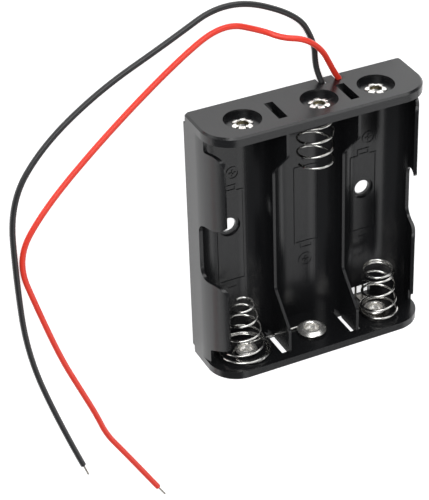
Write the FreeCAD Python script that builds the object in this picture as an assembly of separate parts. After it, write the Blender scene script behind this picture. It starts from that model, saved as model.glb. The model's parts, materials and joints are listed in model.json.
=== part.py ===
"""Holder for three cylindrical cells side by side, with a black and a red flying lead.

The holder lies on its back: X runs across the cells, Y along them with the leads leaving at +Y,
and Z up out of the open face. The origin is the middle of the underside. Millimetres and degrees.
"""

import FreeCAD, Part
import math
import os

V = FreeCAD.Vector
ALONG_X = V(1, 0, 0)
ALONG_Y = V(0, 1, 0)
ALONG_Z = V(0, 0, 1)
ORIGIN = V(0, 0, 0)
PAST = 1.0  # how far a cut runs past the face that it opens
LIKE = 0.02  # running clearance between metal pieces that are clamped together
SAME = 1e-6  # distance below which two points are one

# Cells
CELL_D = 14.5
CELL_LEN = 50.5
CELL_PLAY = 0.6
END_PLAY = 2.5

# Moulded housing
FLOOR_T = 1.2
WALL_T = 0.7
RIB_T = 0.6
TROUGH_CORNER_R = 5.2  # on each side of the flat strip along the middle of a bay
PLATE_T = 2.0
PLATE_EDGE = 0.4
PLATE_FOOT_R = 1.0
PLATE_SHOULDER_R = 6.4
PLATE_RISE = 5.25  # height of the end plates over the cell's axis

# Partitions between the bays, as heights over the cell's axis and distances from the end plates
RIB_END_RISE = 4.05
RIB_WAIST_DROP = 2.3
RIB_END_LEN = 5.9
RIB_RAMP_LEN = 6.7
RIB_CORNER_R = 1.2
WIRE_NOTCH_LEN = 1.0
WIRE_NOTCH_H = 2.2

# Slots through the end plates beside the partitions: reach in and out from a partition's middle,
# and reach under and over the middle of the rivets
PLATE_SLOTS = {
    1: {"inward": 0.95, "outward": 0.95, "under": 3.3, "over": 3.3},
    -1: {"inward": 0.95, "outward": 1.3, "under": 4.2, "over": 4.0},
}

# Sprung arms: the side walls lean in over the cells, between finger windows and relief slits
ARM_FOOT_Z = 4.8
ARM_BEND_R = 12.6
ARM_TURN = 37.4
ARM_CORNER_R = 2.8
WINDOW_W = 13.0
WINDOW_SILL = 5.3
WINDOW_SILL_R = 2.5
SLIT_DROP = 0.75
SLIT_FOOT_R = 0.5
SLITS = {
    1: {"foot_w": 2.9, "tip_w": 2.9, "corner_r": 2.8},
    -1: {"foot_w": 3.3, "tip_w": 5.0, "corner_r": 1.2},
}

# Screw holes in the floors of the outer bays
SCREW_D = 3.3
SCREW_HEAD_D = 4.7
SCREW_LAND = 0.7
SCREW_SHIFT = -0.4
SCREW_Y = 0.45

# Contacts: height of the rivets under the cell's axis, and their shift from each bay's middle
CONTACT_DROP = 1.05
UPPER_SHIFTS = (0.74, 1.6, -1.5)
LOWER_SHIFTS = (0.3, -0.2, -0.74)
SHEET_T = 0.3
TAB_R = 3.1
RIVET_D = 3.0
RIVET_BORE_D = 2.4
RIVET_PLAY = 0.05
CRIMP_D = 4.4
CRIMP_T = 0.35
RECESS_D = 7.6
RECESS_DEPTH = 1.2
BUTTON_D = 3.7
BUTTON_RISE = 0.95
RIM_D = 6.3
RIM_RISE = 0.4
SPRING_HEAD_D = 4.6
SPRING_HEAD_T = 0.45

# Springs: shift of the coil from its rivet at the base and at the tip, coil radii, turns, turns that lie
# closed at the base, and free length. Two of them run on as a wire to the next bay's rivet.
WIRE_D = 0.5
WIRE_SIDES = 6
STEPS_PER_TURN = 12
OPEN_TURNS = 0.6  # over which the coils open
CLOSE_TURNS = 0.4  # over which they close again at the tip
CLOSED_PITCH = 0.62
WOUND_TURNS = 0.75  # from under the rivet's head out to the base coil
WOUND_R = 1.95  # where the wire starts under the head
LIFT = 0.6  # of the base coil, over the wire that runs to the next bay
LIFT_FROM = 0.6  # share of the winding out after which the wire lifts
LOOP_R = 2.4  # of a linked wire round the next bay's rivet
LOOP_TURNS = 0.8
WIDE_BASE_PLAY = 1.8  # from the side of the bay to the middle of the widest base coil
SPRINGS = {
    "spring_lower_left": {
        "end": -1, "bay": -1, "base_shift": (-0.5, -0.15), "tip_shift": (-0.5, 0.1),
        "base_r": (CELL_D + CELL_PLAY) / 2 - WIDE_BASE_PLAY, "tip_r": 1.9, "turns": 5.3, "closed_base": 0.95,
        "tip_turns": 0.3, "length": 12.2, "link_bay": 0,
    },
    "spring_upper_centre": {
        "end": 1, "bay": 0, "base_shift": (-0.85, 0.0), "tip_shift": (-0.85, 0.0),
        "base_r": 3.75, "tip_r": 3.65, "turns": 4.5, "closed_base": 0.5, "tip_turns": 0.22, "length": 11.3, "link_bay": 1,
    },
    "spring_lower_right": {
        "end": -1, "bay": 1, "base_shift": (0.35, 0.95), "tip_shift": (0.4, 0.2),
        "base_r": 4.0, "tip_r": 3.05, "turns": 5.4, "closed_base": 0.83, "tip_turns": 1.42, "length": 10.6, "link_bay": None,
    },
}

# Terminal tails, which pass through the floor and carry the soldered leads
TAIL_STEM_W = 2.1
TAIL_PRONG_W = 0.4
TAIL_REST = 0.55  # height of the prongs over the underside
TAIL_LEN = 3.7
TAIL_BEND_R = 0.3
TAIL_SLOT_W = 4.7
TAIL_SLOT_LEN = 2.65
POCKET_W = 7.0
POCKET_LEN = 1.8
POCKET_DEPTH = 0.9

# Leads
LEAD_D = 1.2
LEAD_SIDES = 8
STRAND_D = 0.45
LEAD_Z = LEAD_D / 2
BARE_END = 3.4
SOLDER_D = 0.8
SOLDER_LEN = 3.4
SOLDER_RISE = 0.1  # of the bead's middle over the strand's
CHANNEL_PLAY = 0.2
CHANNEL_SIDE_PLAY = 0.3
STRAND_INSET = 3.3  # from the inner face of the end plate in to the stripped strand
RED_TURN_R = 1.5  # of the red lead where it turns out through its notch
STRIPPED = 3.65  # from a terminal's middle along its strand to the insulation
STRAND_RAMP = (0.7, 1.6)  # where the strand drops from the insulation's middle to its prongs
RUN_SHARE = 0.45  # how much of its shorter run each turn of a lead takes up
BLACK_X = 5.5  # where the black lead leaves through the end plate
RED_X = 9.1
RED_Z = 1.95
RED_BEND_X = (-7.7, -5.0)  # where the red lead leaves its terminal's line and joins the cross run
RED_CLIMB_X = (2.6, 5.2)  # where it climbs to pass over the black lead
NOTCH_W = 1.8
NOTCH_H = 2.8
GROOVE_Y = 1.6  # from the outer face of the end plate in to the red lead's cross run
STEP_LEN = 1.2
STEP_RISE = 1.2
STEP_HIGH_RISE = 2.4
STEP_HIGH_X = (3.2, 6.6)

# Sizes that follow from the values above
BAY_HALF_W = (CELL_D + CELL_PLAY) / 2
PITCH = 2 * BAY_HALF_W + RIB_T
AXIS_Z = FLOOR_T + BAY_HALF_W
CORNER_X = BAY_HALF_W - TROUGH_CORNER_R
CORNER_Z = FLOOR_T + TROUGH_CORNER_R
HALF_W = PITCH + BAY_HALF_W + WALL_T
HEIGHT = AXIS_Z + PLATE_RISE
ARM_X = HALF_W - ARM_BEND_R
ARM_TOP = ARM_FOOT_Z + ARM_BEND_R * math.sin(math.radians(ARM_TURN))
HALF_INNER = (CELL_LEN + END_PLAY) / 2
HALF_L = HALF_INNER + PLATE_T
RIB_X = PITCH / 2
CONTACT_Z = AXIS_Z - CONTACT_DROP
RIVET_R = RIVET_D / 2
RIVET_HOLE_R = RIVET_R + RIVET_PLAY
WEB_T = PLATE_T - RECESS_DEPTH
TERMINAL_X = PITCH + LOWER_SHIFTS[2]
STRAND_Y = HALF_INNER - STRAND_INSET
STRAND_Z = TAIL_REST - STRAND_D / 2 - LIKE
GROOVE_CROSS_Y = HALF_L - GROOVE_Y
CHANNEL_W = LEAD_D + 2 * CHANNEL_SIDE_PLAY
CHANNEL_DEPTH = LEAD_D + CHANNEL_PLAY
INSULATION_START = TERMINAL_X - STRIPPED

# Free stretches of the leads on the surface, from the end plate to their stripped ends
BLACK_ROUTE = [
    (BLACK_X, HALF_L, LEAD_Z), (BLACK_X, 31.2, LEAD_Z), (3.5, 39.0, LEAD_Z), (-2.2, 45.8, LEAD_Z),
    (-15.0, 50.8, LEAD_Z), (-27.0, 44.6, LEAD_Z), (-41.0, 38.2, LEAD_Z), (-53.4, 29.2, LEAD_Z),
    (-60.4, 18.6, LEAD_Z), (-60.9, 2.0, LEAD_Z), (-60.2, -16.0, LEAD_Z), (-55.4, -34.0, LEAD_Z),
    (-50.6, -48.4, LEAD_Z),
]
RED_ROUTE = [
    (RED_X, HALF_L, RED_Z), (RED_X, 29.9, RED_Z), (8.1, 32.0, 2.6), (5.6, 35.2, 4.1), (1.8, 39.4, 5.0),
    (-4.2, 41.4, 3.4), (-9.0, 42.9, LEAD_Z), (-15.4, 45.2, LEAD_Z), (-25.4, 40.0, LEAD_Z), (-40.9, 27.8, LEAD_Z),
    (-53.8, 15.6, LEAD_Z), (-60.2, 5.6, LEAD_Z), (-56.9, -7.0, LEAD_Z), (-50.8, -28.0, LEAD_Z),
    (-44.9, -43.4, LEAD_Z), (-33.8, -61.0, LEAD_Z),
]


def add(*shapes):
    """One solid out of shapes that meet."""
    return shapes[0].multiFuse(list(shapes[1:])).removeSplitter()


def block(x, y, z):
    """A box between three pairs of limits."""
    return Part.makeBox(x[1] - x[0], y[1] - y[0], z[1] - z[0], V(x[0], y[0], z[0]))


def rounded_outline(corners, place):
    """A face with straight sides. Each corner is (a, b, radius), and place turns (a, b) into a point."""
    flat = [V(a, b, 0) for a, b, _ in corners]
    edges = []
    ends = []
    for n, (_, _, radius) in enumerate(corners):
        here = flat[n]
        back = (flat[n - 1] - here).normalize()
        ahead = (flat[(n + 1) % len(flat)] - here).normalize()
        half = back.getAngle(ahead) / 2
        if radius == 0:
            ends.append((here, here))
            continue
        reach = radius / math.tan(half)
        middle = here + (back + ahead).normalize() * (radius / math.sin(half) - radius)
        start, stop = here + back * reach, here + ahead * reach
        edges.append(Part.Arc(*(place(p.x, p.y) for p in (start, middle, stop))).toShape())
        ends.append((start, stop))
    for n, (_, stop) in enumerate(ends):
        start = ends[(n + 1) % len(ends)][0]
        if (start - stop).Length > SAME:
            edges.append(Part.LineSegment(place(stop.x, stop.y), place(start.x, start.y)).toShape())
    return Part.Face(Part.Wire(Part.__sortEdges__(edges)))


def across(corners, x_from, x_to):
    """A prism along X from corners given as (y, z, radius)."""
    return rounded_outline(corners, lambda y, z: V(x_from, y, z)).extrude(V(x_to - x_from, 0, 0))


def lengthwise(corners, y_from, y_to):
    """A prism along Y from corners given as (x, z, radius)."""
    return rounded_outline(corners, lambda x, z: V(x, y_from, z)).extrude(V(0, y_to - y_from, 0))


def polar(centre, radius, angle):
    """A point on a circle in the plane Y = 0."""
    turn = math.radians(angle)
    return V(centre[0] + radius * math.cos(turn), 0, centre[1] + radius * math.sin(turn))


def arc(centre, radius, start, stop):
    """The arc between two angles of a circle in the plane Y = 0."""
    return Part.Arc(*(polar(centre, radius, angle) for angle in (start, (start + stop) / 2, stop))).toShape()


def straight(*points):
    """Straight edges through the points."""
    return [Part.LineSegment(a, b).toShape() for a, b in zip(points, points[1:])]


def arm_root_angles():
    """Where the arm's inner face leaves the outer corner of its bay, as angles about the corner and the arm."""
    inner_r, corner_r = ARM_BEND_R - WALL_T, TROUGH_CORNER_R
    out, up = PITCH + CORNER_X - ARM_X, CORNER_Z - ARM_FOOT_Z
    reach = math.hypot(out, up)
    tilt = math.degrees(math.atan2(up, out))
    at_corner = math.degrees(math.acos((inner_r**2 - corner_r**2 - reach**2) / (2 * corner_r * reach)))
    at_arm = math.degrees(math.acos((inner_r**2 + reach**2 - corner_r**2) / (2 * inner_r * reach)))
    return tilt - at_corner, tilt - at_arm


def half_section():
    """Section through the right half of the troughs, with half of the middle bay."""
    arm = (ARM_X, ARM_FOOT_Z)
    inner_r = ARM_BEND_R - WALL_T
    corner_angle, arm_angle = arm_root_angles()
    rib_right, rib_left = RIB_X + RIB_T / 2, RIB_X - RIB_T / 2
    rib_top = AXIS_Z + RIB_END_RISE
    edges = straight(V(0, 0, FLOOR_T), ORIGIN, V(HALF_W, 0, 0), V(HALF_W, 0, ARM_FOOT_Z))
    edges.append(arc(arm, ARM_BEND_R, 0, ARM_TURN))
    edges += straight(polar(arm, ARM_BEND_R, ARM_TURN), polar(arm, inner_r, ARM_TURN))
    edges.append(arc(arm, inner_r, ARM_TURN, arm_angle))
    edges.append(arc((PITCH + CORNER_X, CORNER_Z), TROUGH_CORNER_R, corner_angle, -90))
    edges += straight(V(PITCH + CORNER_X, 0, FLOOR_T), V(PITCH - CORNER_X, 0, FLOOR_T))
    edges.append(arc((PITCH - CORNER_X, CORNER_Z), TROUGH_CORNER_R, -90, -180))
    edges += straight(
        V(rib_right, 0, CORNER_Z), V(rib_right, 0, rib_top), V(rib_left, 0, rib_top), V(rib_left, 0, CORNER_Z)
    )
    edges.append(arc((CORNER_X, CORNER_Z), TROUGH_CORNER_R, 0, -90))
    edges += straight(V(CORNER_X, 0, FLOOR_T), V(0, 0, FLOOR_T))
    return Part.Face(Part.Wire(edges))


def troughs():
    """The three troughs between the end plates."""
    section = half_section()
    section.translate(V(0, -HALF_INNER, 0))
    half = section.extrude(V(0, 2 * HALF_INNER, 0))
    return [half, half.mirror(ORIGIN, ALONG_X)]


def end_plate(end):
    """One end plate, with its outer edge eased. end is 1 for the lead end and -1 for the other."""
    outline = [
        (-HALF_W, 0, PLATE_FOOT_R), (HALF_W, 0, PLATE_FOOT_R),
        (HALF_W, HEIGHT, PLATE_SHOULDER_R), (-HALF_W, HEIGHT, PLATE_SHOULDER_R),
    ]
    plate = lengthwise(outline, end * HALF_INNER, end * HALF_L)
    outer = [e for e in plate.Edges if all(abs(v.Y - end * HALF_L) < SAME for v in e.Vertexes)]
    return plate.makeChamfer(PLATE_EDGE, outer)


def rib_cuts():
    """Lowered waists of the partitions, notches for the linked wires, and slots through the end plates."""
    high = HALF_INNER - RIB_END_LEN
    low = high - RIB_RAMP_LEN
    top, waist = AXIS_Z + RIB_END_RISE, AXIS_Z - RIB_WAIST_DROP
    roof = HEIGHT + PAST
    waist_outline = [
        (-high, top, RIB_CORNER_R), (-low, waist, RIB_CORNER_R), (low, waist, RIB_CORNER_R),
        (high, top, RIB_CORNER_R), (high + PAST, top, 0), (high + PAST, roof, 0),
        (-high - PAST, roof, 0), (-high - PAST, top, 0),
    ]
    reach = RIB_T / 2 + PAST
    cuts = []
    for x in (-RIB_X, RIB_X):
        cuts.append(across(waist_outline, x - reach, x + reach))
        for end, slot in PLATE_SLOTS.items():
            notch_y = sorted((end * (HALF_INNER - WIRE_NOTCH_LEN), end * HALF_INNER))
            notch_z = (link_z(end) - WIRE_NOTCH_H / 2, link_z(end) + WIRE_NOTCH_H / 2)
            cuts.append(block((x - reach, x + reach), notch_y, notch_z))
            slot_x = sorted(math.copysign(RIB_X + out, x) for out in (-slot["inward"], slot["outward"]))
            slot_y = sorted((end * HALF_INNER, end * (HALF_L + PAST)))
            cuts.append(block(slot_x, slot_y, (CONTACT_Z - slot["under"], CONTACT_Z + slot["over"])))
    return cuts


def side_cuts():
    """Finger windows and relief slits, which leave two sprung arms on each side."""
    roof = ARM_TOP + PAST
    slit_z = AXIS_Z - SLIT_DROP
    side, far = WINDOW_W / 2, WINDOW_W / 2 + ARM_CORNER_R + PAST
    window = [
        (-side, WINDOW_SILL, WINDOW_SILL_R), (side, WINDOW_SILL, WINDOW_SILL_R),
        (side, ARM_TOP, ARM_CORNER_R), (far, ARM_TOP, 0), (far, roof, 0),
        (-far, roof, 0), (-far, ARM_TOP, 0), (-side, ARM_TOP, ARM_CORNER_R),
    ]
    outlines = [window]
    for end, slit in SLITS.items():
        outer = end * HALF_INNER
        foot, tip = outer - end * slit["foot_w"], outer - end * slit["tip_w"]
        past_corner = tip - end * (slit["corner_r"] + PAST)
        outlines.append([
            (outer, slit_z, 0), (foot, slit_z, SLIT_FOOT_R), (tip, ARM_TOP, slit["corner_r"]),
            (past_corner, ARM_TOP, 0), (past_corner, roof, 0), (outer, roof, 0),
        ])
    inside = polar((ARM_X, ARM_FOOT_Z), ARM_BEND_R - WALL_T, ARM_TURN).x - PAST
    spans = ((-HALF_W - PAST, -inside), (inside, HALF_W + PAST))
    return [across(outline, *span) for outline in outlines for span in spans]


def rivet_places():
    """Each rivet's end, bay and X."""
    for end, shifts in ((1, UPPER_SHIFTS), (-1, LOWER_SHIFTS)):
        for bay, shift in zip((-1, 0, 1), shifts):
            yield end, bay, bay * PITCH + shift


def rivet_x(end, bay):
    return next(x for e, b, x in rivet_places() if (e, b) == (end, bay))


def link_z(end):
    """Height at which a linked wire leaves its loop at an end."""
    return CONTACT_Z + end * LOOP_R


def sheet_under(end, bay):
    """Thickness of the terminal sheet under a rivet's head, if it has one."""
    return SHEET_T + LIKE if end * bay == -1 else 0.0


def wire_y(end, bay):
    """Where a wire's middle lies at a bay's end: on the end plate, or on the terminal."""
    return end * (HALF_INNER - sheet_under(end, bay) - LIKE - WIRE_D / 2)


def rivet_cuts():
    """Rivet holes through the end plates, and the round recesses that sink the crimped ends."""
    cuts = []
    for end, _, x in rivet_places():
        out = ALONG_Y * end
        cuts.append(Part.makeCylinder(RIVET_HOLE_R, PLATE_T, V(x, end * HALF_INNER, CONTACT_Z), out))
        foot = V(x, end * (HALF_INNER + WEB_T), CONTACT_Z)
        cuts.append(Part.makeCylinder(RECESS_D / 2, RECESS_DEPTH + PAST, foot, out))
    return cuts


def screw_cuts():
    """Counterbored screw holes in the floors of the outer bays."""
    cuts = []
    for side in (-1, 1):
        x = side * (PITCH + SCREW_SHIFT)
        cuts.append(Part.makeCylinder(SCREW_D / 2, FLOOR_T + PAST, V(x, SCREW_Y, -PAST / 2)))
        cuts.append(Part.makeCylinder(SCREW_HEAD_D / 2, FLOOR_T + PAST, V(x, SCREW_Y, SCREW_LAND)))
    return cuts


def half_turned(shape):
    """The shape turned half round about Z, from the lower right corner to the upper left one."""
    turned = shape.copy()
    turned.rotate(ORIGIN, ALONG_Z, 180)
    return turned


def tail_cuts():
    """Slots that pass the terminal tails through the floor, and the solder pockets behind them."""
    slot_x = (TERMINAL_X - TAIL_SLOT_W / 2, TERMINAL_X + TAIL_SLOT_W / 2)
    pocket_x = (slot_x[1] - POCKET_W, slot_x[1])
    slot_end = -HALF_INNER + TAIL_SLOT_LEN
    slot = block(slot_x, (-HALF_INNER, slot_end), (-PAST, FLOOR_T + PAST))
    pocket = block(pocket_x, (slot_end - LIKE, slot_end + POCKET_LEN), (-PAST, POCKET_DEPTH))
    return [slot, pocket, half_turned(slot), half_turned(pocket)]


def channel(points, depth):
    """A channel in the underside that follows a lead's plan."""
    plan = lead_path([V(x, y, 0) for x, y in points]).makeOffset2D(CHANNEL_W / 2, fill=True)
    plan.translate(V(0, 0, -PAST))
    return plan.extrude(V(0, 0, depth + PAST))


def lead_cuts():
    """Channels for the leads in the underside, and their way out through the lead end's plate."""
    low_y = -STRAND_Y
    cuts = [
        channel([(INSULATION_START, low_y), (BLACK_X, low_y), (BLACK_X, HALF_L + PAST)], CHANNEL_DEPTH),
        channel(RED_PLAN, CHANNEL_DEPTH),
    ]
    deep_y = (GROOVE_CROSS_Y - CHANNEL_W / 2, GROOVE_CROSS_Y + CHANNEL_W / 2)
    climb_start, climb_stop = RED_CLIMB_X
    climb = [
        (climb_start - CHANNEL_W / 2, -PAST, 0), (RED_X + NOTCH_W / 2, -PAST, 0), (RED_X + NOTCH_W / 2, NOTCH_H, 0),
        (climb_stop - CHANNEL_PLAY, NOTCH_H, 0), (climb_start - CHANNEL_W / 2, CHANNEL_DEPTH, 0),
    ]
    cuts.append(lengthwise(climb, *deep_y))
    for x in (BLACK_X, RED_X):
        cuts.append(block((x - NOTCH_W / 2, x + NOTCH_W / 2), (deep_y[0], HALF_L + PAST), (-PAST, NOTCH_H)))
    return cuts


def lead_steps():
    """Steps in the middle bay's floor that roof the red lead's cross run."""
    y = (HALF_INNER - STEP_LEN, HALF_INNER)
    low = block((-RIB_X, RIB_X), y, (0, FLOOR_T + STEP_RISE))
    high = block(STEP_HIGH_X, y, (0, FLOOR_T + STEP_HIGH_RISE))
    return [low, high]


def housing():
    """The one-piece moulding."""
    body = add(*troughs(), end_plate(-1), end_plate(1), *lead_steps())
    cuts = rib_cuts() + side_cuts() + rivet_cuts() + screw_cuts() + tail_cuts() + lead_cuts()
    return body.cut(cuts)


def terminal_plate():
    """The lower right terminal: a round tab, a stem, and two prongs bent in under the floor."""
    face_y = -HALF_INNER
    stem = (TERMINAL_X - TAIL_STEM_W / 2, TERMINAL_X + TAIL_STEM_W / 2)
    shoulder_z = CONTACT_Z - TAB_R - TAIL_STEM_W / 2
    round_tab = Part.makeCylinder(TAB_R, SHEET_T, V(TERMINAL_X, face_y, CONTACT_Z), ALONG_Y)
    gusset = [
        (TERMINAL_X - TAB_R, CONTACT_Z, 0), (TERMINAL_X - TAB_R, CONTACT_Z - TAIL_STEM_W, 0),
        (stem[0], shoulder_z, 0), (stem[1], shoulder_z, 0),
        (TERMINAL_X + TAB_R, CONTACT_Z - TAIL_STEM_W, 0), (TERMINAL_X + TAB_R, CONTACT_Z, 0),
    ]
    tab = lengthwise(gusset, face_y, face_y + SHEET_T)
    post = block(stem, (face_y, face_y + SHEET_T), (FLOOR_T, CONTACT_Z - TAB_R))
    fold = [
        (face_y, FLOOR_T + PAST, 0), (face_y, TAIL_REST, TAIL_BEND_R + SHEET_T), (face_y + TAIL_LEN, TAIL_REST, 0),
        (face_y + TAIL_LEN, TAIL_REST + SHEET_T, 0), (face_y + SHEET_T, TAIL_REST + SHEET_T, TAIL_BEND_R),
        (face_y + SHEET_T, FLOOR_T + PAST, 0),
    ]
    prongs = [across(fold, stem[0], stem[0] + TAIL_PRONG_W), across(fold, stem[1] - TAIL_PRONG_W, stem[1])]
    hole = Part.makeCylinder(RIVET_HOLE_R, SHEET_T + 2 * PAST, V(TERMINAL_X, face_y - PAST, CONTACT_Z), ALONG_Y)
    return add(round_tab, tab, post, *prongs).cut(hole)


def rivet(end, bay):
    """A tubular rivet. Its head is a contact button, or a plain head that clamps a spring."""
    x = rivet_x(end, bay)
    sprung = any((spring["end"], spring["bay"]) == (end, bay) for spring in SPRINGS.values())
    linked = any((spring["end"], spring["link_bay"]) == (end, bay) for spring in SPRINGS.values())
    crimp = WEB_T + LIKE
    under = -sheet_under(end, bay) - LIKE
    if sprung or linked:
        under -= WIRE_D + LIKE
    if sprung:
        head = [(0, under - SPRING_HEAD_T), (SPRING_HEAD_D / 2, under - SPRING_HEAD_T), (SPRING_HEAD_D / 2, under)]
    else:
        top, flange = under - BUTTON_RISE, under - RIM_RISE
        head = [
            (0, top), (BUTTON_D / 2, top), (BUTTON_D / 2, flange), (RIM_D / 2, flange), (RIM_D / 2, under),
        ]
    shank = [
        (RIVET_R, under), (RIVET_R, crimp), (CRIMP_D / 2, crimp), (CRIMP_D / 2, crimp + CRIMP_T),
        (RIVET_BORE_D / 2, crimp + CRIMP_T), (RIVET_BORE_D / 2, under), (0, under),
    ]
    points = [V(x + radius, end * (HALF_INNER + out), CONTACT_Z) for radius, out in head + shank]
    face = Part.Face(Part.makePolygon(points + points[:1]))
    return face.revolve(V(x, 0, CONTACT_Z), ALONG_Y, 360)


def ramp_area(turn, start, stop):
    """The area up to a turn under a slope that grows from 0 to 1 between two turns."""
    if turn <= start:
        return 0.0
    if turn >= stop:
        return turn - (start + stop) / 2
    return (turn - start) ** 2 / (2 * (stop - start))


def eased(share):
    """A share from 0 to 1 that starts and stops gently."""
    return share**2 * (3 - 2 * share)


def coil_rise(spring, turn):
    """How far the wire stands over its base coil at a turn. The last turns close."""
    turns, start = spring["turns"], spring["closed_base"]
    close = turns - spring["tip_turns"] - CLOSE_TURNS
    opened = ramp_area(turns, start, start + OPEN_TURNS)
    closed = ramp_area(turns, close, close + CLOSE_TURNS)
    pitch = (spring["length"] - LIFT - CLOSED_PITCH * closed) / (opened - closed)
    closing = ramp_area(turn, close, close + CLOSE_TURNS)
    return pitch * ramp_area(turn, start, start + OPEN_TURNS) - (pitch - CLOSED_PITCH) * closing


def coil_point(spring, turn):
    """A point of a spring's wire. Up to turn 0 it winds out from under the rivet's head."""
    end, turns = spring["end"], spring["turns"]
    along = max(turn, 0) / turns
    wound = min(1 + turn / WOUND_TURNS, 1)
    lifted = max(wound - LIFT_FROM, 0) / (1 - LIFT_FROM)
    radius = WOUND_R + (spring["base_r"] - WOUND_R) * eased(wound) + (spring["tip_r"] - spring["base_r"]) * along
    shift_x, shift_z = (
        (base + (tip - base) * along) * eased(wound) for base, tip in zip(spring["base_shift"], spring["tip_shift"])
    )
    rise = LIFT * eased(lifted) + coil_rise(spring, max(turn, 0))
    angle = 2 * math.pi * turn * end
    x, y = rivet_x(end, spring["bay"]) + shift_x, wire_y(end, spring["bay"]) - end * rise
    return V(x + radius * math.cos(angle), y, CONTACT_Z + shift_z + radius * math.sin(angle))


def loop_point(spring, turn):
    """A point of the wire's loop round the next bay's rivet, which ends at turn 0."""
    end, bay = spring["end"], spring["link_bay"]
    angle = end * math.pi * (0.5 + 2 * turn)
    centre = V(rivet_x(end, bay), wire_y(end, spring["bay"]), CONTACT_Z)
    return centre + V(math.cos(angle), 0, math.sin(angle)) * LOOP_R


def wire_section(point, spring, turn):
    """The wire's outline across its run at a turn of its coil or loop."""
    near = 0.001
    centre = point(spring, turn)
    heading = (point(spring, turn + near) - point(spring, turn - near)).normalize()
    side = heading.cross(ALONG_Y).normalize()
    return ring(centre, side, side.cross(heading), WIRE_D, WIRE_SIDES)


def coil_spring(spring):
    """A contact spring of drawn wire, with its run to the next bay's rivet where it has one."""
    sections = []
    if spring["link_bay"] is not None:
        steps = round(LOOP_TURNS * STEPS_PER_TURN)
        sections = [wire_section(loop_point, spring, -n / STEPS_PER_TURN) for n in range(steps, -1, -1)]
    steps = round((spring["turns"] + WOUND_TURNS) * STEPS_PER_TURN)
    sections += [wire_section(coil_point, spring, n / STEPS_PER_TURN - WOUND_TURNS) for n in range(steps + 1)]
    return Part.makeLoft(sections, True, True)


def ring(centre, across_way, up_way, diameter, sides):
    """A closed outline of a round section, with flats above and below."""
    corners = []
    for n in range(sides):
        angle = 2 * math.pi * (n + 0.5) / sides
        corners.append(centre + (across_way * math.sin(angle) + up_way * math.cos(angle)) * (diameter / 2))
    return Part.makePolygon(corners + corners[:1])


def lead_path(points, last_radius=None):
    """Straight runs joined by tangent arcs, each as large as its two runs allow. The last may be given."""
    edges = []
    at = points[0]
    for n in range(1, len(points) - 1):
        here = points[n]
        back, ahead = points[n - 1] - here, points[n + 1] - here
        short = min(back.Length, ahead.Length)
        half_turn = (math.pi - back.getAngle(ahead)) / 2
        radius = RUN_SHARE * short / math.tan(half_turn)
        if last_radius and points[n + 1] is points[-1]:
            radius = last_radius
        reach = radius * math.tan(half_turn)
        back, ahead = back.normalize(), ahead.normalize()
        start, stop = here + back * reach, here + ahead * reach
        middle = here + (back + ahead).normalize() * (radius / math.cos(half_turn) - radius)
        edges += [Part.LineSegment(at, start).toShape(), Part.Arc(start, middle, stop).toShape()]
        at = stop
    edges.append(Part.LineSegment(at, points[-1]).toShape())
    return Part.Wire(edges)


def tube(name, points, diameter, last_radius=None):
    """A round lead or strand along a route. Prints its length, smallest radius and volume's error."""
    path = lead_path([V(*p) for p in points], last_radius)
    start = V(*points[0])
    heading = (V(*points[1]) - start).normalize()
    side = heading.cross(ALONG_Z).normalize()
    section = Part.Face(ring(start, side, side.cross(heading), diameter, LEAD_SIDES))
    solid = path.makePipe(section)
    tightest = min((e.Curve.Radius for e in path.Edges if hasattr(e.Curve, "Radius")), default=0)
    expected = section.Area * path.Length
    print(f"{name}: length {path.Length:.1f}, smallest radius {tightest:.1f}, "
          f"volume {100 * (solid.Volume / expected - 1):+.3f}%")
    return solid


def solder(strand):
    """The bead that joins a stripped strand to both prongs of a terminal."""
    centre_z = TAIL_REST - STRAND_D / 2 + SOLDER_RISE
    start = V(TERMINAL_X - SOLDER_LEN / 2, -STRAND_Y, centre_z)
    bead = Part.Face(ring(start, ALONG_Y, ALONG_Z, SOLDER_D, LEAD_SIDES)).extrude(V(SOLDER_LEN, 0, 0))
    return bead.cut([strand, terminal_plate()])


def bare_end(name, route):
    """The stripped end of a lead, drooping to the surface."""
    last, before = V(*route[-1]), V(*route[-2])
    ahead = (last - before).normalize()
    middle = last + ahead * (BARE_END / 2)
    tip = last + ahead * BARE_END - V(0, 0, LEAD_Z - STRAND_D)
    return tube(name, [tuple(last), tuple(middle), tuple(tip)], STRAND_D)


# Where the leads run inside the holder, from their stripped ends to the outer face of the end plate
BLACK_INSIDE = [
    (INSULATION_START, -STRAND_Y, LEAD_Z), (BLACK_X, -STRAND_Y, LEAD_Z), (BLACK_X, HALF_L, LEAD_Z),
]
RED_PLAN = [
    (-INSULATION_START, STRAND_Y), (RED_BEND_X[0], STRAND_Y), (RED_BEND_X[1], GROOVE_CROSS_Y),
    (RED_X, GROOVE_CROSS_Y),
]
RED_INSIDE = [
    *((x, y, LEAD_Z) for x, y in RED_PLAN[:3]), (RED_CLIMB_X[0], GROOVE_CROSS_Y, LEAD_Z),
    (RED_CLIMB_X[1], GROOVE_CROSS_Y, RED_Z), (RED_X, GROOVE_CROSS_Y, RED_Z), (RED_X, HALF_L, RED_Z),
]
STRAND_INSIDE = [
    (TERMINAL_X + SOLDER_LEN / 2 - LIKE, -STRAND_Y, STRAND_Z),
    (INSULATION_START + STRAND_RAMP[1], -STRAND_Y, STRAND_Z),
    (INSULATION_START + STRAND_RAMP[0], -STRAND_Y, LEAD_Z), (INSULATION_START, -STRAND_Y, LEAD_Z),
]


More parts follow.
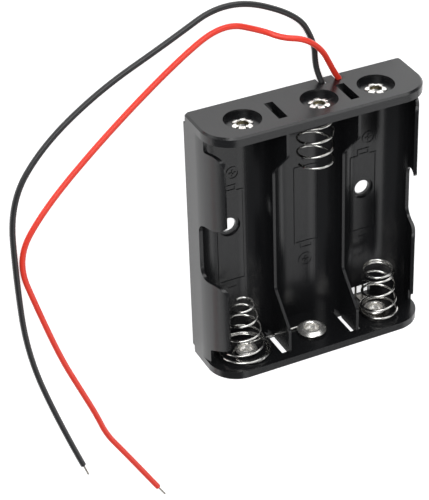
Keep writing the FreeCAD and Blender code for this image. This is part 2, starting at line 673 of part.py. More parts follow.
def nodes():
    """Every piece by its name."""
    strand = tube("strand_black_inner", STRAND_INSIDE, STRAND_D)
    bead = solder(strand)
    terminal = terminal_plate()
    pieces = {
        "housing": housing(),
        "terminal_plate_black": terminal,
        "terminal_plate_red": half_turned(terminal),
        "strand_black_inner": strand,
        "strand_red_inner": half_turned(strand),
        "solder_black": bead,
        "solder_red": half_turned(bead),
        "lead_black_inside": tube("lead_black_inside", BLACK_INSIDE, LEAD_D),
        "lead_red_inside": tube("lead_red_inside", RED_INSIDE, LEAD_D, RED_TURN_R),
        "lead_black": tube("lead_black", BLACK_ROUTE, LEAD_D),
        "lead_red": tube("lead_red", RED_ROUTE, LEAD_D),
        "lead_black_bare_end": bare_end("lead_black_bare_end", BLACK_ROUTE),
        "lead_red_bare_end": bare_end("lead_red_bare_end", RED_ROUTE),
    }
    for name, spring in SPRINGS.items():
        pieces[name] = coil_spring(spring)
    end_words = {1: "upper", -1: "lower"}
    bay_words = {-1: "left", 0: "centre", 1: "right"}
    for end, bay, _ in rivet_places():
        pieces[f"rivet_{end_words[end]}_{bay_words[bay]}"] = rivet(end, bay)
    return pieces


def main():
    os.makedirs("parts", exist_ok=True)
    for name, shape in nodes().items():
        print(f"{name}: {len(shape.Solids)} solid, valid {shape.isValid()}, volume {shape.Volume:.2f}")
        shape.exportStep(f"parts/{name}.step")


main()
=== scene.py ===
"""Looks of a moulded holder for three cylindrical cells, with a black and a red flying lead.

The holder lies on its back on a white table. Lengths are in millimetres and go into the scene
times MM, but those of the table and the lamps are in metres.
"""

import json
import math

import bmesh
import bpy
from mathutils import Matrix, Vector


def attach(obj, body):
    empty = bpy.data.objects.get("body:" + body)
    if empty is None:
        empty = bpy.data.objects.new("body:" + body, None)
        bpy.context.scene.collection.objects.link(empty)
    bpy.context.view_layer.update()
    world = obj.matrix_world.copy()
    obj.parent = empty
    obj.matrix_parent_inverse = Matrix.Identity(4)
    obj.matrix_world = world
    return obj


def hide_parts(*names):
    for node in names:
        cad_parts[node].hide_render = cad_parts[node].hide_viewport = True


MM = 0.001
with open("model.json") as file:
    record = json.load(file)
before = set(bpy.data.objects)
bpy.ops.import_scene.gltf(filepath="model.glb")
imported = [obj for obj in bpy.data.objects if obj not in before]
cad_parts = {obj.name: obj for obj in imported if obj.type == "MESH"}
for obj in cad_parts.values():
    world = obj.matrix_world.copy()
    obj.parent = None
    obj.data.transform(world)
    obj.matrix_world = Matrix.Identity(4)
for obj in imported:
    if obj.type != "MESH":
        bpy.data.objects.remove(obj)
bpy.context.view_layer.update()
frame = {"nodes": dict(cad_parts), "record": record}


# Sizes shared with the solids

BAY_PITCH = 15.7
FLOOR_Z = 1.2
CORNER_R = 5.2  # between the flat strip along a bay and its upright sides
CORNER_X = 2.35  # half the width of that strip
END_FACE_Y = 26.5  # the inner faces of the end plates
CONTACT_Z = 7.7  # the middles of the rivets
UPPER_SHIFTS = (0.74, 1.6, -1.5)  # of the rivets, across from the middles of their bays
LOWER_SHIFTS = (0.3, -0.2, -0.74)
SHEET = 0.32  # a terminal's sheet with one clearance
WIRE = 0.5
CLEAR = 0.02  # between pieces of metal that lie on each other
LEAD_WIDTH = 1.2
STRAND_WIDTH = 0.45


# Camera

def set_camera():
    """The photograph's view: from over the lead end, turned so that this end is uppermost."""
    camera = bpy.data.objects.new("camera", bpy.data.cameras.new("camera"))
    bpy.context.collection.objects.link(camera)
    right = Vector((0.89063, -0.01192, 0.45456))
    up = Vector((0.25948, 0.83425, -0.48652))
    back = right.cross(up)
    place = Matrix((right, up, back)).transposed().to_4x4()
    place.translation = Vector((-155.15, 215.89, 302.34)) * MM
    camera.matrix_world = place
    camera.data.sensor_width = 36
    camera.data.lens = 141.77
    camera.data.shift_x = -0.1276
    camera.data.shift_y = -0.017
    camera.data.clip_start = 0.01
    camera.data.clip_end = 10
    bpy.context.scene.camera = camera


# Materials

MIX_SHARE, MIX_LOW, MIX_HIGH, MIX_COLOUR = 0, 6, 7, 2  # sockets of a Mix node for colours


class Level:
    """What a node gives, mostly a number that varies. Arithmetic on it adds Math nodes."""

    def __init__(self, finish, socket):
        self.finish = finish
        self.socket = socket

    def maths(self, operation, *values):
        return self.finish.node(
            "ShaderNodeMath", {"operation": operation}, dict(enumerate(values))
        )

    def __add__(self, other):
        return self.maths("ADD", self, other)

    def __radd__(self, other):
        return self.maths("ADD", other, self)

    def __mul__(self, other):
        return self.maths("MULTIPLY", self, other)

    def __rmul__(self, other):
        return self.maths("MULTIPLY", other, self)


class Finish:
    """A procedural material, built node by node."""

    def __init__(self, name):
        self.material = bpy.data.materials.new(name)
        self.material.use_nodes = True
        self.tree = self.material.node_tree
        self.tree.nodes.clear()

    def node(self, kind, settings=None, inputs=None, output=0):
        """Adds a node with its settings and its inputs, and gives the output asked for, if any."""
        made = self.tree.nodes.new(kind)
        for name, value in (settings or {}).items():
            setattr(made, name, value)
        for name, value in (inputs or {}).items():
            if isinstance(value, Level):
                self.tree.links.new(value.socket, made.inputs[name])
            else:
                made.inputs[name].default_value = value
        return Level(self, made.outputs[output]) if made.outputs else None

    def place(self):
        """Where a point lies on the object, by which every pattern is laid out."""
        return self.node("ShaderNodeTexCoord", output="Object")

    def noise(self, size, detail, stretch=(1, 1, 1)):
        """Cloudy values from 0 to 1, with clouds of about this size in millimetres."""
        stretched = self.node(
            "ShaderNodeMapping", inputs={"Vector": self.place(), "Scale": stretch}
        )
        return self.node(
            "ShaderNodeTexNoise",
            inputs={"Vector": stretched, "Scale": 1 / (size * MM), "Detail": detail},
        )

    def blend(self, share, low, high):
        """A colour between two others, which are given in numbers or vary themselves."""
        low, high = (
            value if isinstance(value, Level) else (*value, 1) for value in (low, high)
        )
        return self.node(
            "ShaderNodeMix", {"data_type": "RGBA"},
            {MIX_SHARE: share, MIX_LOW: low, MIX_HIGH: high}, MIX_COLOUR,
        )

    def bump(self, height, depth):
        """The slopes of a relief of this depth in millimetres."""
        return self.node("ShaderNodeBump", inputs={"Height": height, "Distance": depth * MM})

    def surface(self, **inputs):
        """The shader itself. Gives the finished material."""
        values = {name.replace("_", " "): value for name, value in inputs.items()}
        shader = self.node("ShaderNodeBsdfPrincipled", inputs=values)
        self.node("ShaderNodeOutputMaterial", inputs={"Surface": shader})
        return self.material


def moulded_black():
    """Moulded black plastic: satin, with a fine spark-eroded grain and faint flow marks."""
    finish = Finish("moulded_black")
    flow = finish.noise(7, 2, (1, 0.35, 1))
    grain = finish.noise(0.16, 2)
    return finish.surface(
        Base_Color=finish.blend(flow, (0.0062, 0.0064, 0.0072), (0.0095, 0.0098, 0.0108)),
        Roughness=0.15 + flow * 0.1 + grain * 0.06,
        Normal=finish.bump(grain * 0.7 + flow * 0.9, 0.018),
    )


def bright_nickel():
    """Nickel plating gone a little dull, with faint drawing marks and cloudier patches."""
    finish = Finish("bright_nickel")
    clouds = finish.noise(1.1, 3)
    marks = finish.noise(0.2, 2, (1, 6, 6))
    return finish.surface(
        Base_Color=finish.blend(clouds, (0.2, 0.19, 0.175), (0.32, 0.31, 0.29)),
        Metallic=1.0,
        Roughness=0.12 + clouds * 0.16 + marks * 0.08,
        Normal=finish.bump(marks + clouds, 0.012),
    )


SHADED_BRASS_Y = 26.95  # where the bores of the upper rivets are painted dark brass, their brass tint darkened as painted shade
SHADED_BRASS_REACH = 0.42  # to both sides of it


def satin_nickel():
    """Nickel plating on pressed brass: satin, with small dints, and bare brass in the bores of the
    upper rivets, painted darker there as shade.
    """
    finish = Finish("satin_nickel")
    clouds = finish.noise(0.9, 3)
    dints = finish.noise(0.25, 2)
    along = finish.node("ShaderNodeSeparateXYZ", inputs={"Vector": finish.place()}, output="Y")
    # Painted shade: the bores of the upper rivets get a dark brass, their brass tint darkened as
    # the shade of the dark bays.
    shaded_brass_bore = along.maths("COMPARE", along, SHADED_BRASS_Y * MM, SHADED_BRASS_REACH * MM)
    plating = finish.blend(clouds, (0.9, 0.88, 0.84), (0.98, 0.97, 0.94))
    return finish.surface(
        Base_Color=finish.blend(shaded_brass_bore, plating, (0.34, 0.29, 0.17)),
        Metallic=0.9,
        Roughness=0.22 + clouds * 0.1,
        Normal=finish.bump(dints + clouds * 0.5, 0.006),
    )


def spring_wire():
    """Plated spring wire, brighter than the strips and faintly clouded."""
    finish = Finish("spring_wire")
    clouds = finish.noise(0.9, 2)
    return finish.surface(
        Base_Color=finish.blend(clouds, (0.62, 0.61, 0.58), (0.84, 0.83, 0.8)),
        Metallic=1.0,
        Roughness=0.11 + clouds * 0.1,
        Normal=finish.bump(clouds, 0.006),
    )


def insulation(name, low, high):
    """Smooth extruded cable insulation, a little uneven and rubbed."""
    finish = Finish(name)
    patches = finish.noise(5, 3)
    fine = finish.noise(0.35, 2)
    return finish.surface(
        Base_Color=finish.blend(patches, low, high),
        Roughness=0.34 + patches * 0.12,
        Coat_Weight=0.15,
        Normal=finish.bump(fine + patches, 0.02),
    )


def tinned_copper():
    """Tinned copper, with some of the copper's warmth where the tin is thin."""
    finish = Finish("tinned_copper")
    clouds = finish.noise(0.3, 3)
    return finish.surface(
        Base_Color=finish.blend(clouds, (0.4, 0.36, 0.32), (0.72, 0.7, 0.66)),
        Metallic=1.0,
        Roughness=0.28 + clouds * 0.2,
        Normal=finish.bump(clouds, 0.008),
    )


def cooled_solder():
    """Solder that has cooled with a slightly frosted skin."""
    finish = Finish("cooled_solder")
    frost = finish.noise(0.25, 4)
    return finish.surface(
        Base_Color=finish.blend(frost, (0.5, 0.5, 0.51), (0.76, 0.76, 0.77)),
        Metallic=1.0,
        Roughness=0.22 + frost * 0.26,
        Normal=finish.bump(frost, 0.02),
    )


FINISHES = {
    "black_plastic": moulded_black(),
    "nickel_strip": bright_nickel(),
    "nickel_rivet": satin_nickel(),
    "spring_steel": spring_wire(),
    "solder_metal": cooled_solder(),
    "tinned_strand": tinned_copper(),
    "black_insulation": insulation(
        "black_insulation", (0.012, 0.012, 0.013), (0.022, 0.022, 0.023)
    ),
    "red_insulation": insulation(
        "red_insulation", (0.86, 0.035, 0.016), (0.95, 0.055, 0.026)
    ),
}


# Pieces

MERGE = 0.002  # vertices closer together than this become one


def finished_piece(name, data, slot, *nodes):
    """Puts a mesh or a curve in the scene, with its finish, in the place of CAD nodes."""
    piece = bpy.data.objects.new(name, data)
    bpy.context.collection.objects.link(piece)
    data.materials.append(FINISHES[slot])
    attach(piece, "root")
    if nodes:
        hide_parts(*nodes)
    return piece


def smooth_mesh(shape, name, smooth_below):
    """The shape as a mesh, smooth where its faces meet at less than the angle."""
    mesh = bpy.data.meshes.new(name)
    shape.to_mesh(mesh)
    shape.free()
    mesh.shade_smooth()
    mesh.set_sharp_from_angle(angle=math.radians(smooth_below))
    return mesh


def mesh_from(shape, name, smooth_below):
    """The same for a shape that still has doubles and faces turned either way."""
    bmesh.ops.remove_doubles(shape, verts=shape.verts, dist=MERGE * MM)
    bmesh.ops.recalc_face_normals(shape, faces=shape.faces)
    return smooth_mesh(shape, name, smooth_below)


def nurbs_line(name, points, width, steps=12):
    """A round bar along one smooth spline, in so many steps from point to point."""
    line = bpy.data.curves.new(name, "CURVE")
    line.dimensions = "3D"
    spline = line.splines.new("NURBS")
    spline.points.add(len(points) - 1)
    for control, point in zip(spline.points, points):
        control.co = (*(Vector(point) * MM), 1)
    spline.order_u = 3
    spline.use_endpoint_u = True
    spline.resolution_u = steps
    line.bevel_depth = width / 2 * MM
    line.bevel_resolution = 5
    line.use_fill_caps = True
    return line


# Leads

BLACK_ROUTE = [
    (5.2, 28.5, 2.1), (4.8, 29.8, 1.4), (4.5, 32.2, 0.6), (4.3, 37.0, 0.6),
    (0.6, 44.0, 0.6), (-14.2, 50.7, 0.6), (-27.0, 44.3, 0.6), (-40.9, 38.0, 0.6),
    (-53.1, 29.2, 0.6), (-60.3, 18.9, 0.6), (-60.6, 2.0, 0.6), (-59.9, -16.0, 0.6),
    (-55.2, -34.0, 0.6), (-50.3, -48.4, 0.6),
]
RED_ROUTE = [
    (8.9, 28.5, 2.1), (8.1, 29.7, 2.3), (6.7, 32.3, 2.8), (4.3, 36.8, 3.9),
    (0.2, 40.5, 4.7), (-4.0, 41.0, 3.2), (-7.0, 42.3, 0.9), (-15.2, 45.8, 0.6),
    (-25.4, 39.8, 0.6), (-40.9, 27.6, 0.6), (-53.8, 15.6, 0.6), (-60.2, 6.0, 0.6),
    (-56.7, -7.2, 0.6), (-52.9, -20.2, 0.6), (-49.3, -29.4, 0.6), (-46.5, -36.6, 0.6),
    (-44.6, -42.6, 0.6), (-41.2, -48.2, 0.6), (-33.9, -60.9, 0.6),
]
BARE_LENGTH = 3.4
OUTER_STRANDS = 6  # round a seventh
TWIST = 430  # degrees over the bare length
TWIST_STEPS = 24


def bare_strands(name, route, node):
    """Seven fine strands twisted together, out of a lead's cut end."""
    start = Vector(route[-1]) * MM
    run = (Vector(route[-1]) - Vector(route[-2])).normalized() * BARE_LENGTH
    run.z = (STRAND_WIDTH - LEAD_WIDTH) / 2
    run *= MM
    strand = STRAND_WIDTH / 3 * MM  # three of the seven lie side by side
    shape = bmesh.new()
    for n in range(OUTER_STRANDS + 1):
        turned = Matrix.Rotation(2 * math.pi * n / OUTER_STRANDS, 4, "Z")
        middle = turned @ Vector((strand if n < OUTER_STRANDS else 0, 0, 0))
        bmesh.ops.create_circle(
            shape, cap_ends=True, segments=10, radius=strand / 2,
            matrix=Matrix.Translation(middle),
        )
    bmesh.ops.spin(
        shape, geom=shape.verts[:] + shape.edges[:] + shape.faces[:],
        cent=(0, 0, 0), axis=(0, 0, 1), dvec=(0, 0, run.length / TWIST_STEPS),
        angle=math.radians(TWIST), steps=TWIST_STEPS, use_duplicate=False,
    )
    turned = run.to_track_quat("Z", "Y").to_matrix()
    bmesh.ops.rotate(shape, verts=shape.verts, cent=(0, 0, 0), matrix=turned)
    bmesh.ops.translate(shape, verts=shape.verts, vec=start)
    mesh = mesh_from(shape, name, smooth_below=60)
    return finished_piece(name, mesh, "tinned_strand", node)


def add_lead(colour, route):
    """A flying lead with its stripped end."""
    ends = bare_strands(f"{colour}_lead_strands", route, f"lead_{colour}_bare_end")
    line = nurbs_line(f"{colour}_lead", route, LEAD_WIDTH)
    lead = finished_piece(f"{colour}_lead", line, f"{colour}_insulation", f"lead_{colour}")


INNER_RUNS = {
    "lead_black_inside": ("black_insulation", [
        (11.3, -23.2, 0.6), (8.6, -23.2, 0.6), (6.9, -23.2, 0.6), (5.5, -23.2, 0.6),
        (5.5, -21.8, 0.6), (5.5, -19.6, 0.6), (5.5, 2.0, 0.6), (5.5, 24.0, 0.6),
        (5.5, 26.4, 0.6), (5.35, 27.4, 2.1), (5.2, 28.5, 2.1),
    ]),
    "lead_red_inside": ("red_insulation", [
        (-11.3, 23.2, 0.6), (-9.2, 23.2, 0.6), (-7.7, 23.2, 0.6), (-6.35, 25.05, 0.6),
        (-5.0, 26.9, 0.6), (-1.2, 26.9, 0.6), (2.6, 26.9, 0.6), (5.2, 26.9, 1.95),
        (7.4, 26.9, 2.0), (9.1, 26.9, 2.05), (8.9, 28.5, 2.1),
    ]),
}


def inner_lead(name, slot, route):
    """A lead's run through its channel under the floor."""
    finished_piece(f"{name}_line", nurbs_line(name, route, LEAD_WIDTH), slot, name)


# Rivets: eyelets with open bores, which are contact buttons or hold the springs. Their ends
# are split into petals and curled over outside.

BUTTON_HEAD = [  # from the bore over the head: radius, and depth from its underside into the bay
    (1.41, -0.3), (1.42, 0.2), (1.47, 0.4), (1.58, 0.57), (1.72, 0.68), (1.86, 0.74),
    (1.97, 0.75), (2.08, 0.73), (2.24, 0.66), (2.45, 0.53), (2.66, 0.38), (2.86, 0.2),
    (3.0, 0.08), (3.06, 0.01), (3.0, 0), (1.5, 0),
]
SPRING_HEAD = [
    (1.4, -0.1), (1.41, 0.18), (1.47, 0.34), (1.58, 0.44), (1.75, 0.44), (1.95, 0.38),
    (2.14, 0.26), (2.28, 0.12), (2.3, 0.02), (2.24, -0.02), (1.5, 0),
]
CURLED_END = [  # radius, and distance out from the end plate's inner face
    (1.5, 0.82), (1.8, 0.84), (2.2, 0.83), (2.26, 0.9), (2.15, 1.0), (1.85, 1.1),
    (1.55, 1.17), (1.34, 1.16), (1.22, 1.06), (1.2, 0.9), (1.26, 0.74), (1.38, 0.6),
    (1.4, 0),
]
RIVET_STEPS = 144  # round a rivet
PETALS = 6
PETAL_ROOT = 1.42  # radius where the splits between the petals end
PETAL_W = 0.84  # share of the pitch from petal to petal
PETAL_TURN = -0.467  # of the left bay's petals, in pitches
PETAL_STAGGER = 0.25  # from bay to bay, in pitches
CURL_OUT = 0.81  # how far out from the end plate's inner face the splits begin
CURL_FLAT = 0.82  # how far out the petals' undersides lie
CURL_THIN = 0.5  # how much of its height a petal loses towards a split


def rivet_place(end, bay):
    """X of the rivet at a bay's upper end, 1, or lower end, -1. The bays are -1, 0 and 1."""
    shifts = UPPER_SHIFTS if end > 0 else LOWER_SHIFTS
    return bay * BAY_PITCH + shifts[bay + 1]


def add_rivet(name, end, bay, head, raised):
    """An eyelet. raised is how far what it clamps holds its head off the end plate."""
    x = rivet_place(end, bay)
    section = [(radius, -raised - depth) for radius, depth in head] + CURLED_END
    shape = bmesh.new()
    corners = [
        shape.verts.new(((x + radius) * MM, end * (END_FACE_Y + out) * MM, CONTACT_Z * MM))
        for radius, out in section
    ]
    for pair in zip(corners, corners[1:] + corners[:1]):
        shape.edges.new(pair)
    axis = Vector((x, end * END_FACE_Y, CONTACT_Z)) * MM
    bmesh.ops.spin(
        shape, geom=shape.verts[:] + shape.edges[:], cent=axis, axis=(0, 1, 0),
        angle=2 * math.pi, steps=RIVET_STEPS, use_merge=True,
    )
    for vert in shape.verts:
        across = Vector((vert.co.x - axis.x, 0, vert.co.z - axis.z))
        out = vert.co.y * end / MM - END_FACE_Y
        if out > CURL_OUT and across.length > PETAL_ROOT * MM:
            pitches = math.atan2(across.z, across.x) * PETALS / (2 * math.pi)
            turn = pitches + PETAL_TURN + PETAL_STAGGER * (bay + 1)
            off = abs(turn - math.floor(turn) - 0.5) * 2 / PETAL_W
            spread = math.sqrt(max(1 - off**3, 0))
            vert.co -= across.normalized() * (across.length - PETAL_ROOT * MM) * (1 - spread)
            vert.co.y -= end * (1 - spread) * (out - CURL_FLAT) * CURL_THIN * MM
    mesh = mesh_from(shape, name, smooth_below=50)
    finished_piece(f"{name}_plated", mesh, "nickel_rivet", name)


RIVETS = {
    "rivet_upper_left": (1, -1, BUTTON_HEAD, SHEET + CLEAR),
    "rivet_upper_centre": (1, 0, SPRING_HEAD, WIRE + 2 * CLEAR),
    "rivet_upper_right": (1, 1, BUTTON_HEAD, WIRE + 2 * CLEAR),
    "rivet_lower_left": (-1, -1, SPRING_HEAD, WIRE + 2 * CLEAR),
    "rivet_lower_centre": (-1, 0, BUTTON_HEAD, WIRE + 2 * CLEAR),
    "rivet_lower_right": (-1, 1, SPRING_HEAD, SHEET + WIRE + 2 * CLEAR),
}


# Springs. Two of them run on as a wire to the next bay's button, where it ends in a loop.

SPRINGS = {
    "spring_lower_left": {
        "end": -1, "bay": -1, "base_shift": (-0.5, -0.15), "tip_shift": (-0.5, 0.1),
        "base_r": 5.75, "tip_r": 1.9, "turns": 5.3, "closed_base": 0.95, "tip_turns": 0.3,
        "length": 12.2, "link_bay": 0, "seat": 0,
    },
    "spring_upper_centre": {
        "end": 1, "bay": 0, "base_shift": (-0.85, 0.0), "tip_shift": (-0.85, 0.0),
        "base_r": 3.75, "tip_r": 3.65, "turns": 4.5, "closed_base": 0.5, "tip_turns": 0.22,
        "length": 11.3, "link_bay": 1, "seat": 0,
    },
    "spring_lower_right": {
        "end": -1, "bay": 1, "base_shift": (0.35, 0.95), "tip_shift": (0.4, 0.2),
        "base_r": 4.0, "tip_r": 3.05, "turns": 5.4, "closed_base": 0.83, "tip_turns": 1.42,
        "length": 10.6, "link_bay": None, "seat": SHEET,
    },
}
WOUND_TURNS = 0.75  # from under the rivet's head out to the base coil
WOUND_R = 1.95
LIFT = 0.6  # of the base coil over the wire under the head
LIFT_FROM = 0.6  # share of those turns after which the wire starts to lift
OPEN_TURNS = 0.6  # in which the coils open from the closed base
CLOSE_TURNS = 0.4  # in which they close again towards the tip
CLOSED_PITCH = 0.62  # of the coils at the tip
LOOP_R = 2.4
LOOP_TURNS = 0.8
LINK_SHARES = (0.06, 0.5, 0.94)  # where points hold the straight run from the loop to the coil
POINTS_PER_TURN = 16
WIRE_STEPS = 4  # from point to point


def rise_by(turn, start, stop):
    """What a climb adds up to at a turn, when its slope grows from 0 to 1 between two turns."""
    if turn <= start:
        return 0.0
    if turn >= stop:
        return turn - (start + stop) / 2
    return (turn - start) ** 2 / (2 * (stop - start))


def eased(share):
    """A share from 0 to 1 that starts and ends gently."""
    return share**2 * (3 - 2 * share)


def coil_rise(spring, turn):
    """How far the wire stands over its base coil."""
    turns, opens = spring["turns"], spring["closed_base"]
    closes = turns - spring["tip_turns"] - CLOSE_TURNS
    opened = rise_by(turns, opens, opens + OPEN_TURNS)
    closed = rise_by(turns, closes, closes + CLOSE_TURNS)
    pitch = (spring["length"] - LIFT - CLOSED_PITCH * closed) / (opened - closed)
    closing = (pitch - CLOSED_PITCH) * rise_by(turn, closes, closes + CLOSE_TURNS)
    return pitch * rise_by(turn, opens, opens + OPEN_TURNS) - closing


def coil_point(spring, turn):
    """A point of the wire, which winds out from under the head to turn 0 and on to the tip."""
    end, along = spring["end"], max(turn, 0) / spring["turns"]
    wound = min(1 + turn / WOUND_TURNS, 1)
    lifted = max(wound - LIFT_FROM, 0) / (1 - LIFT_FROM)
    base_r, tip_r = spring["base_r"], spring["tip_r"]
    radius = WOUND_R + (base_r - WOUND_R) * eased(wound) + (tip_r - base_r) * along
    shift_x, shift_z = (
        (base + (tip - base) * along) * eased(wound)
        for base, tip in zip(spring["base_shift"], spring["tip_shift"])
    )
    rise = LIFT * eased(lifted) + coil_rise(spring, max(turn, 0))
    angle = 2 * math.pi * turn * end
    return Vector((
        rivet_place(end, spring["bay"]) + shift_x + radius * math.cos(angle),
        end * (END_FACE_Y - spring["seat"] - CLEAR - WIRE / 2 - rise),
        CONTACT_Z + shift_z + radius * math.sin(angle),
    ))


def loop_point(spring, turn):
    """A point of the wire's loop round the next bay's rivet, which ends at turn 0."""
    end = spring["end"]
    angle = end * math.pi * (0.5 + 2 * turn)
    return Vector((
        rivet_place(end, spring["link_bay"]) + LOOP_R * math.cos(angle),
        end * (END_FACE_Y - CLEAR - WIRE / 2),
        CONTACT_Z + LOOP_R * math.sin(angle),
    ))


def add_spring(name, spring):
    """A spring's one wire, with its loop and its run to the coil if it links two bays."""
    points = []
    if spring["link_bay"] is not None:
        steps = int(LOOP_TURNS * POINTS_PER_TURN)
        points = [loop_point(spring, n / POINTS_PER_TURN - LOOP_TURNS) for n in range(steps + 1)]
        start, stop = loop_point(spring, 0), coil_point(spring, -WOUND_TURNS)
        points += [start, *(start.lerp(stop, share) for share in LINK_SHARES)]
    steps = round((spring["turns"] + WOUND_TURNS) * POINTS_PER_TURN)
    points += [coil_point(spring, n / POINTS_PER_TURN - WOUND_TURNS) for n in range(steps + 1)]
    line = nurbs_line(f"{name}_wire", points, WIRE, WIRE_STEPS)
    finished_piece(f"{name}_wire", line, "spring_steel", name)


# Solder and stripped strands at the terminals. The red lead's are the black lead's, turned
# half round.

STRAND_RUN = [
    (16.6, -23.2, 0.3), (13.4, -23.2, 0.3), (12.6, -23.2, 0.36), (12.1, -23.2, 0.55),
    (11.3, -23.2, 0.6),
]
BEAD_PLACE = (14.96, -23.2, 0.42)
BEAD_SIZE = (1.65, 0.42, 0.36)  # half its length, width and height
SWELL_X, SWELL_Y = 0.07, 0.05  # how uneven it is, as a share of its width
WAVE_X, WAVE_Y = 5200, 7300  # radians per metre


def add_soldered_end(colour, side):
    """The stripped strand on the terminal's prongs, and the bead of solder that holds it."""
    route = [(side * x, side * y, z) for x, y, z in STRAND_RUN]
    name = f"{colour}_soldered_strand"
    line = nurbs_line(name, route, STRAND_WIDTH)
    finished_piece(name, line, "tinned_strand", f"strand_{colour}_inner")
    shape = bmesh.new()
    bmesh.ops.create_icosphere(shape, subdivisions=4, radius=MM)
    for vert in shape.verts:
        x, y, z = vert.co
        swell = 1 + SWELL_X * math.sin(x * WAVE_X + side) + SWELL_Y * math.sin(y * WAVE_Y)
        vert.co = Vector((x * BEAD_SIZE[0], y * BEAD_SIZE[1] * swell, z * BEAD_SIZE[2] * swell))
    x, y, z = BEAD_PLACE
    place = Vector((side * x, side * y, z)) * MM
    bmesh.ops.translate(shape, verts=shape.verts, vec=place)
    name = f"{colour}_solder_bead"
    mesh = mesh_from(shape, name, smooth_below=60)
    finished_piece(name, mesh, "solder_metal", f"solder_{colour}")


# Housing

HOUSING_MERGE = 0.003
FLAT_BELOW = 0.6  # degrees between faces that count as one flat face
EDGE_FROM = 32  # degrees between faces that meet at an edge
EDGE_ROUNDING = 0.1


def add_housing():
    """The moulding, with the slight rounding that a worn mould leaves along its edges."""
    shape = bmesh.new()
    shape.from_mesh(frame["nodes"]["housing"].data)
    bmesh.ops.remove_doubles(shape, verts=shape.verts, dist=HOUSING_MERGE * MM)
    bmesh.ops.dissolve_limit(
        shape, angle_limit=math.radians(FLAT_BELOW), verts=shape.verts, edges=shape.edges,
        delimit={"NORMAL"},
    )
    mesh = smooth_mesh(shape, "moulded_housing", EDGE_FROM)
    housing = finished_piece("moulded_housing", mesh, "black_plastic", "housing")
    rounding = housing.modifiers.new("rounding", "BEVEL")
    rounding.width = EDGE_ROUNDING * MM
    rounding.segments = 2
    rounding.limit_method = "ANGLE"
    rounding.angle_limit = math.radians(EDGE_FROM)
    rounding.use_clamp_overlap = True
    shading = housing.modifiers.new("shading", "WEIGHTED_NORMAL")
    shading.keep_sharp = True


# Marks in the floors

MARK_W = 0.3
MARK_H = 0.17
MARK_SINK = 0.15  # into the floor
BUTTON_HALF = 1.35  # half the width of the button on a cell's outline
BUTTON_LENGTH = 1.4
PLUS_LENGTH = 1.5
MINUS_LENGTH = 1.7
MINUS_W = 0.32
MINUS_GAP = 1.6  # from the outline to the middle of the minus sign


def bay_surface(x):
    """Height of a bay's floor, which turns up into its sides."""
    off = abs((x + BAY_PITCH / 2) % BAY_PITCH - BAY_PITCH / 2) - CORNER_X
    return FLOOR_Z if off <= 0 else FLOOR_Z + CORNER_R - math.sqrt(CORNER_R**2 - off**2)


def flat_bar(x, y, length, width, parts):
    """A flat rectangle about a place, in so many parts along X."""
    shape = bmesh.new()
    bmesh.ops.create_grid(shape, x_segments=parts, y_segments=1, size=0.5 * MM)
    bmesh.ops.scale(shape, verts=shape.verts, vec=(length, width, 1))
    bmesh.ops.translate(shape, verts=shape.verts, vec=Vector((x, y, 0)) * MM)
    return shape


def leave_rim(shape):
    """Cuts the middle out of a flat face, so that a line along its outline is left."""
    middle = shape.faces[:]
    bmesh.ops.inset_region(
        shape, faces=middle, thickness=MARK_W * MM, use_boundary=True, use_even_offset=True,
    )
    bmesh.ops.delete(shape, geom=middle, context="FACES")


def raise_marks(marks, shape):
    """Lays a flat outline on the floor of its bay as a raised line, and adds it to the marks."""
    raised = bmesh.ops.extrude_face_region(shape, geom=shape.faces[:])
    tops = {item for item in raised["geom"] if isinstance(item, bmesh.types.BMVert)}
    for vert in shape.verts:
        over = MARK_H if vert in tops else -MARK_SINK
        vert.co.z = (bay_surface(vert.co.x / MM) + over) * MM
    bmesh.ops.recalc_face_normals(shape, faces=shape.faces)
    part = bpy.data.meshes.new("mark")
    shape.to_mesh(part)
    shape.free()
    marks.from_mesh(part)
    bpy.data.meshes.remove(part)


def outline_mark(marks, x, y):
    """A rectangular outline between limits."""
    shape = flat_bar(sum(x) / 2, sum(y) / 2, x[1] - x[0], y[1] - y[0], parts=1)
    leave_rim(shape)
    bmesh.ops.subdivide_edges(shape, edges=shape.edges, cuts=14, use_grid_fill=True)
    raise_marks(marks, shape)


def bar_mark(marks, x, y, length, width):
    raise_marks(marks, flat_bar(x, y, length, width, parts=8))


def ring_mark(marks, x, y, radius):
    shape = bmesh.new()
    bmesh.ops.create_circle(shape, cap_ends=True, segments=48, radius=radius * MM)
    bmesh.ops.translate(shape, verts=shape.verts, vec=Vector((x, y, 0)) * MM)
    leave_rim(shape)
    raise_marks(marks, shape)


CELL_MARKS = [  # an outline's sides and ends, which end is positive, and the plus sign's ring
    ((-18.1, -12.1), (-12.9, 8.65), 1, (-14.4, 12.7, 1.45)),
    ((-0.75, 4.75), (-8.5, 9.9), -1, (1.8, -12.8, 1.6)),
    ((12.2, 18.35), (-9.7, 8.65), 1, (16.4, 12.4, 1.45)),
]


def add_marks():
    """A cell's outline in each bay, with its button, and its plus and minus ends."""
    marks = bmesh.new()
    for sides, ends, positive, (ring_x, ring_y, ring_r) in CELL_MARKS:
        near, far = ends[::positive]
        middle = sum(sides) / 2
        button = sorted((far, far + positive * BUTTON_LENGTH))
        outline_mark(marks, sides, ends)
        outline_mark(marks, (middle - BUTTON_HALF, middle + BUTTON_HALF), button)
        ring_mark(marks, ring_x, ring_y, ring_r)
        bar_mark(marks, ring_x, ring_y, PLUS_LENGTH, MARK_W)
        bar_mark(marks, ring_x, ring_y, MARK_W, PLUS_LENGTH)
        bar_mark(marks, middle, near - positive * MINUS_GAP, MINUS_LENGTH, MINUS_W)
    mesh = mesh_from(marks, "floor_marks", smooth_below=40)
    finished_piece("floor_marks", mesh, "black_plastic")


# Setting

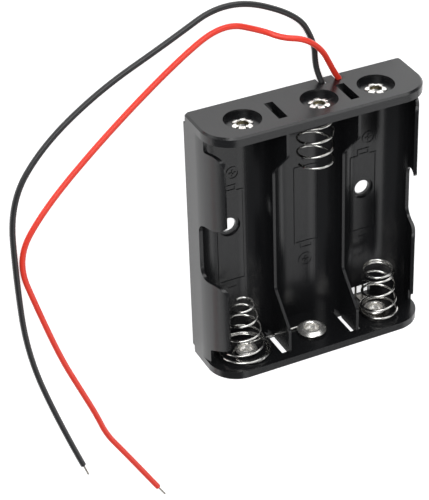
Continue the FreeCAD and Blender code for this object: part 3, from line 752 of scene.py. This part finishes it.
TABLE_HALF = 2
TABLE_WHITE = (0.9, 0.9, 0.9, 1)
TABLE_GLOW = 0.66
SURROUND = (0.95, 0.97, 1, 1)
SURROUND_GLOW = 0.2
LAMPS = [  # name, place and aim, width and height, turn about its own axis, power
    ("overhead_softbox", (0.422, -0.324, 0.8), (0.422, -0.324, 0), (1.1, 0.55), 22, 2.2),
    ("front_softbox", (-0.42, 0.50, 0.62), (0, 0, 0), (0.8, 0.4), 0, 4.6),
    ("rear_softbox", (0.15, 0.9, 0.38), (0, 0, 0), (1.0, 0.5), 0, 3.8),
    ("right_softbox", (0.86, -0.65, 0.42), (0, 0, 0), (0.7, 0.7), 0, 1.6),
]


def set_table():
    """A white table. It glows where it is looked at or mirrored, and lights nothing itself."""
    table = Finish("white_table")
    rays = table.node("ShaderNodeLightPath", output="Is Camera Ray")
    mirror = table.node("ShaderNodeLightPath", output="Is Glossy Ray")
    through = table.node("ShaderNodeLightPath", output="Is Transmission Ray")
    seen = rays.maths("MAXIMUM", rays.maths("MAXIMUM", rays, mirror), through)
    white = table.surface(
        Base_Color=TABLE_WHITE, Roughness=0.9,
        Emission_Color=table.blend(seen, (0, 0, 0), (1, 1, 1)), Emission_Strength=TABLE_GLOW,
    )
    shape = bmesh.new()
    bmesh.ops.create_grid(shape, x_segments=1, y_segments=1, size=TABLE_HALF)
    mesh = bpy.data.meshes.new("table_top")
    shape.to_mesh(mesh)
    shape.free()
    mesh.materials.append(white)
    top = bpy.data.objects.new("table_top", mesh)
    bpy.context.collection.objects.link(top)


def set_light():
    """Four softboxes and an even surround."""
    world = bpy.data.worlds.new("surround")
    bpy.context.scene.world = world
    world.use_nodes = True
    sky = world.node_tree.nodes["Background"]
    sky.inputs["Color"].default_value = SURROUND
    sky.inputs["Strength"].default_value = SURROUND_GLOW

    for name, place, aim, (width, height), turn, power in LAMPS:
        lamp = bpy.data.lights.new(name, "AREA")
        lamp.shape = "RECTANGLE"
        lamp.size = width
        lamp.size_y = height
        lamp.energy = power
        holder = bpy.data.objects.new(name, lamp)
        bpy.context.collection.objects.link(holder)
        turned = (Vector(place) - Vector(aim)).to_track_quat("Z", "Y")
        turned = turned.to_matrix() @ Matrix.Rotation(math.radians(turn), 3, "Z")
        holder.matrix_world = Matrix.Translation(place) @ turned.to_4x4()


def dress_solids():
    """Gives the CAD nodes their finishes. The two terminals are what still shows of them."""
    slots = {entry["node"]: entry["material_slot"] for entry in frame["record"]["subparts"]}
    for name, node in frame["nodes"].items():
        node.data.materials.clear()
        node.data.materials.append(FINISHES[slots[name]])


set_camera()
add_lead("black", BLACK_ROUTE)
add_lead("red", RED_ROUTE)
for lead_name, (lead_slot, lead_route) in INNER_RUNS.items():
    inner_lead(lead_name, lead_slot, lead_route)
add_housing()
add_marks()
for rivet_name, rivet_sizes in RIVETS.items():
    add_rivet(rivet_name, *rivet_sizes)
for spring_name, spring_sizes in SPRINGS.items():
    add_spring(spring_name, spring_sizes)
add_soldered_end("black", 1)
add_soldered_end("red", -1)
dress_solids()
set_table()
set_light()

bpy.context.scene.view_settings.view_transform = "Standard"
bpy.context.view_layer.update()
